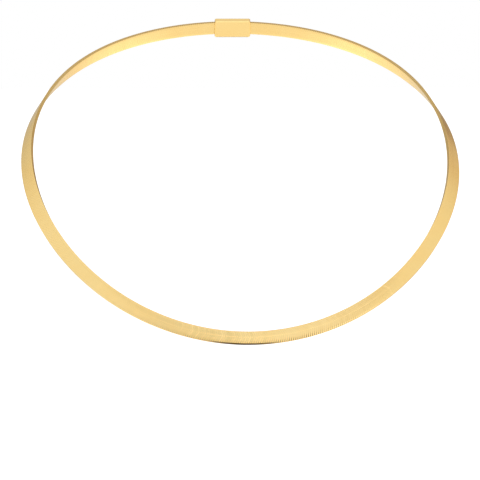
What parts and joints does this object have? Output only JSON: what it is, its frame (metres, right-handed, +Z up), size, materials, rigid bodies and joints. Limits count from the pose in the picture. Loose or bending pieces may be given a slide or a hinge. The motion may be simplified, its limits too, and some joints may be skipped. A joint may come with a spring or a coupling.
{
  "type": "herringbone chain necklace",
  "caption": "Flat woven gold-coloured neck chain as a closed loop, held as worn: low in front, high at the nape, with a plain clasp behind.",
  "frame": {"origin": "middle of the clasp's inner face, where the chain rests on the nape of the neck", "axes": "+Z up, the front of the chain at -Y, +X towards the wearer's left"},
  "size_m": [0.1286, 0.1063, 0.0893],
  "materials": {
    "gold_weave": "polished yellow gold, pressed flat, with the fine cross lines of the links",
    "gold_clasp": "polished yellow gold, plain"
  },
  "bodies": {
    "root": {"herringbone_band": "gold_weave", "clasp": "gold_clasp"}
  },
  "joints": []
}
